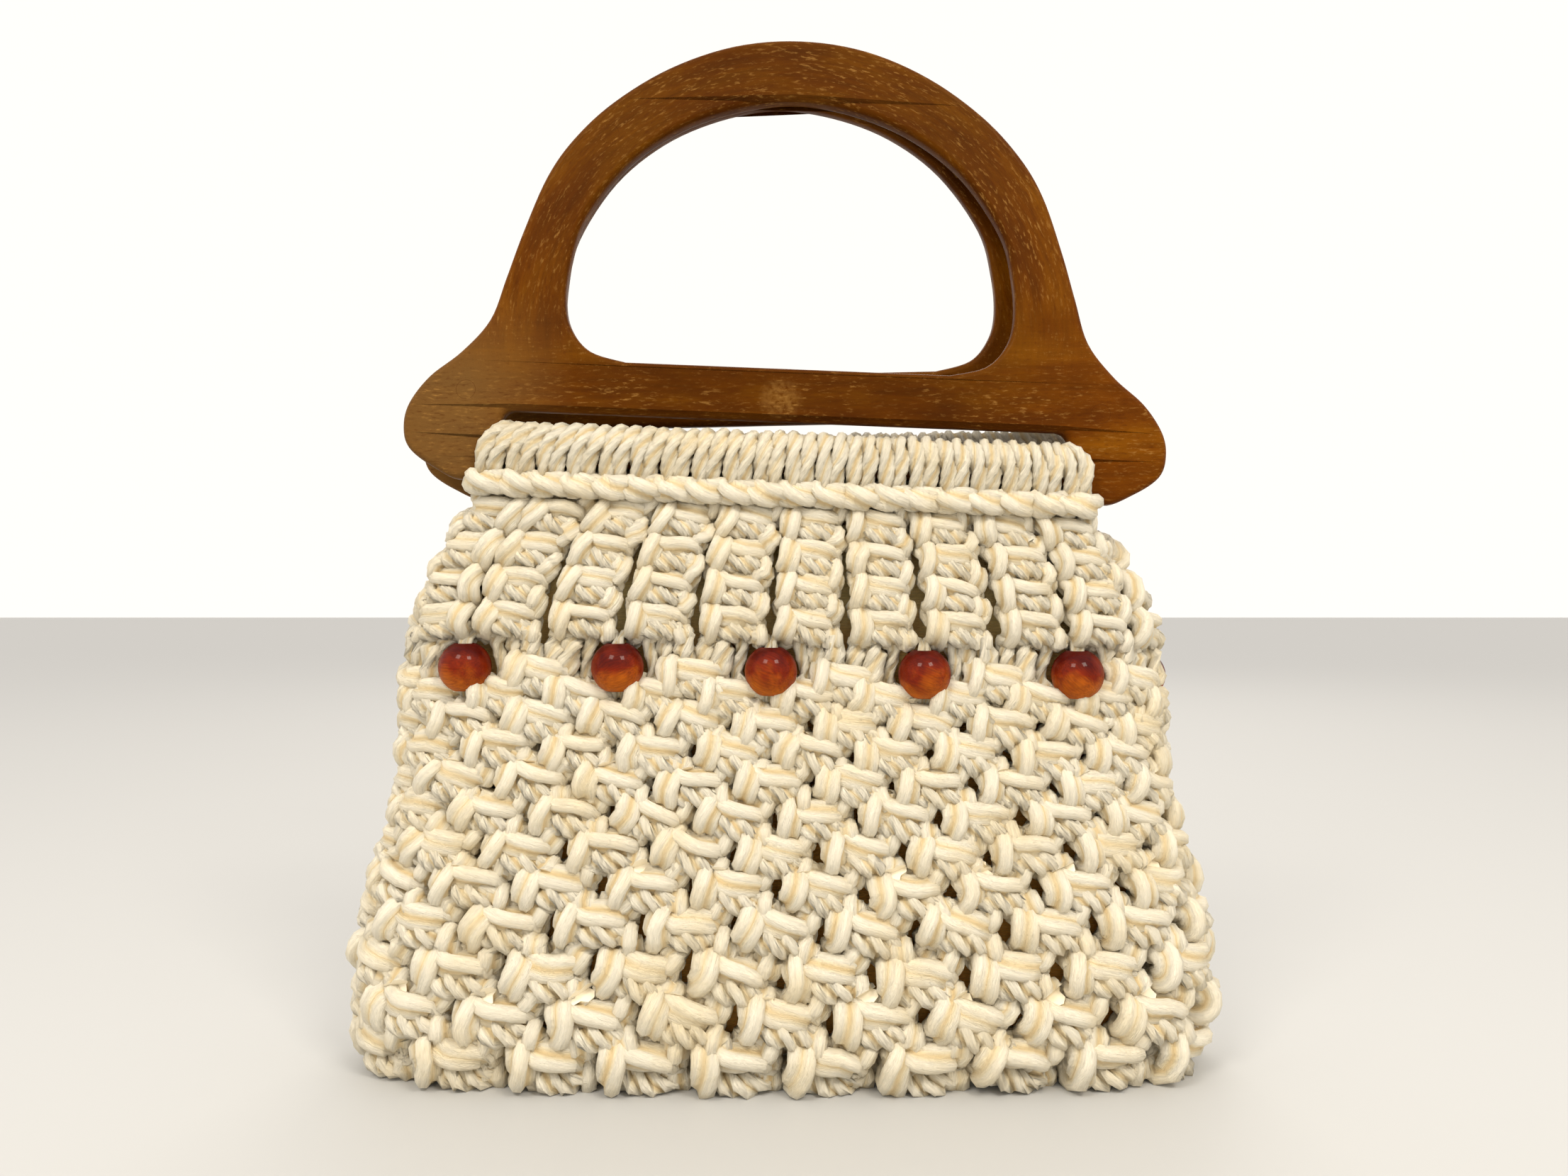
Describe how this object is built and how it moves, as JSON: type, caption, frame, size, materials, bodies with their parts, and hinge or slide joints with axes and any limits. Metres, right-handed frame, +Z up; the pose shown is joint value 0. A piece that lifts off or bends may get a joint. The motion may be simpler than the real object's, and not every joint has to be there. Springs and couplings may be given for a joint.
{
  "type": "macrame handbag",
  "caption": "Flat knotted-cord handbag with D-shaped wooden handles, a row of round wooden beads, an open net body and a cloth lining.",
  "frame": {"origin": "centre of the flat base, on the surface that the bag stands on", "axes": "+Z up, front face towards -Y, +X to the right as seen from the front"},
  "size_m": [0.2882, 0.0722, 0.3491],
  "materials": {
    "handle_wood": "satin lacquer, streaky brown, lightly scuffed",
    "cord": "soft twisted three-ply cord, cream, slight sheen",
    "bead_wood": "glossy varnish over fine red-brown grain",
    "lining_cloth": "thin ribbed cloth, golden khaki, matte"
  },
  "bodies": {
    "root": {"front_handle": "handle_wood", "back_handle": "handle_wood", "front_wraps": "cord", "back_wraps": "cord", "front_sinnet_01": "cord", "front_sinnet_02": "cord", "front_sinnet_03": "cord", "front_sinnet_04": "cord", "front_sinnet_05": "cord", "front_sinnet_06": "cord", "front_sinnet_07": "cord", "front_sinnet_08": "cord", "front_sinnet_09": "cord", "front_sinnet_10": "cord", "back_sinnet_01": "cord", "back_sinnet_02": "cord", "back_sinnet_03": "cord", "back_sinnet_04": "cord", "back_sinnet_05": "cord", "back_sinnet_06": "cord", "back_sinnet_07": "cord", "back_sinnet_08": "cord", "back_sinnet_09": "cord", "back_sinnet_10": "cord", "bead_01": "bead_wood", "bead_02": "bead_wood", "bead_03": "bead_wood", "bead_04": "bead_wood", "bead_05": "bead_wood", "bead_06": "bead_wood", "bead_07": "bead_wood", "bead_08": "bead_wood", "bead_09": "bead_wood", "bead_10": "bead_wood", "net_body": "cord", "lining": "lining_cloth"}
  },
  "joints": []
}
